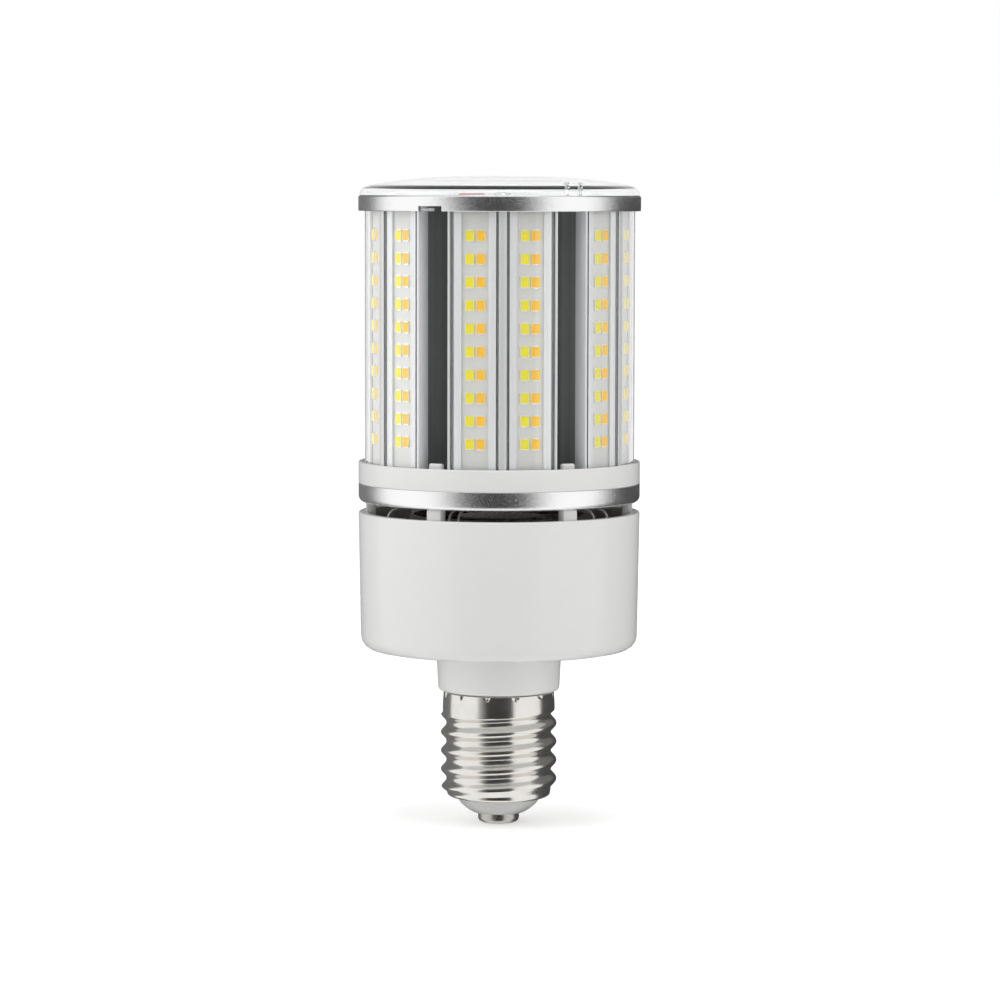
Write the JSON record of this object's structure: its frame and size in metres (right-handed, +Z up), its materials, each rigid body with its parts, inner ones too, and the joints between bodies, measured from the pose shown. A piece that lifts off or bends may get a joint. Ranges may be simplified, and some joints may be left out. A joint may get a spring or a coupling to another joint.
{
  "type": "corn LED lamp",
  "caption": "Upright corn LED lamp with a large screw cap, white driver housing, cooling fan, slotted heat-sink column of flat lighting boards and a clear domed lid.",
  "frame": {"origin": "middle of the centre contact's lower face, where the cap meets its holder", "axes": "+Z up the lamp's axis from the cap to the dome, -Y towards the front as pictured, +X to the right"},
  "size_m": [0.0954, 0.0954, 0.2198],
  "materials": {
    "contact_metal": "tinned, slightly dull",
    "insulator": "smooth grey-white",
    "nickel": "bright nickel plate",
    "white_plastic": "glossy white",
    "green_board": "solder-masked board",
    "ferrite": "dark core with yellow tape",
    "capacitor_sleeve": "black sleeve",
    "fan_plastic": "black moulded plastic",
    "steel": "zinc-plated",
    "satin_metal": "satin",
    "extruded_aluminium": "pale anodised extrusion",
    "white_board": "white solder mask",
    "clear_plastic": "clear and glossy"
  },
  "bodies": {
    "lamp": {"centre_contact": "contact_metal", "cap_insulator": "insulator", "cap_shell": "nickel", "housing": "white_plastic", "driver_board": "green_board", "transformer": "ferrite", "storage_capacitors": "capacitor_sleeve", "fan_tray": "white_plastic", "fan_frame": "fan_plastic", "lower_ring": "satin_metal", "base_ring": "white_plastic", "top_ring": "satin_metal", "top_board": "white_board", "dome_cover": "clear_plastic", "heat_sink_1": "extruded_aluminium", "heat_sink_2": "extruded_aluminium", "heat_sink_3": "extruded_aluminium", "heat_sink_4": "extruded_aluminium", "heat_sink_5": "extruded_aluminium", "heat_sink_6": "extruded_aluminium", "led_board_01": "white_board", "led_board_02": "white_board", "led_board_03": "white_board", "led_board_04": "white_board", "led_board_05": "white_board", "led_board_06": "white_board", "led_board_07": "white_board", "led_board_08": "white_board", "led_board_09": "white_board", "led_board_10": "white_board", "led_board_11": "white_board", "led_board_12": "white_board", "cover_strip_01": "clear_plastic", "cover_strip_02": "clear_plastic", "cover_strip_03": "clear_plastic", "cover_strip_04": "clear_plastic", "cover_strip_05": "clear_plastic", "cover_strip_06": "clear_plastic", "cover_strip_07": "clear_plastic", "cover_strip_08": "clear_plastic", "cover_strip_09": "clear_plastic", "cover_strip_10": "clear_plastic", "cover_strip_11": "clear_plastic", "cover_strip_12": "clear_plastic"},
    "fan": {"fan_rotor": "fan_plastic", "fan_shaft": "steel"}
  },
  "joints": [
    {"name": "fan_spin", "type": "hinge", "parent": "lamp", "child": "fan", "pos_m": [0, 0, 0.098], "axis": [0, 0, 1], "continuous": true}
  ]
}
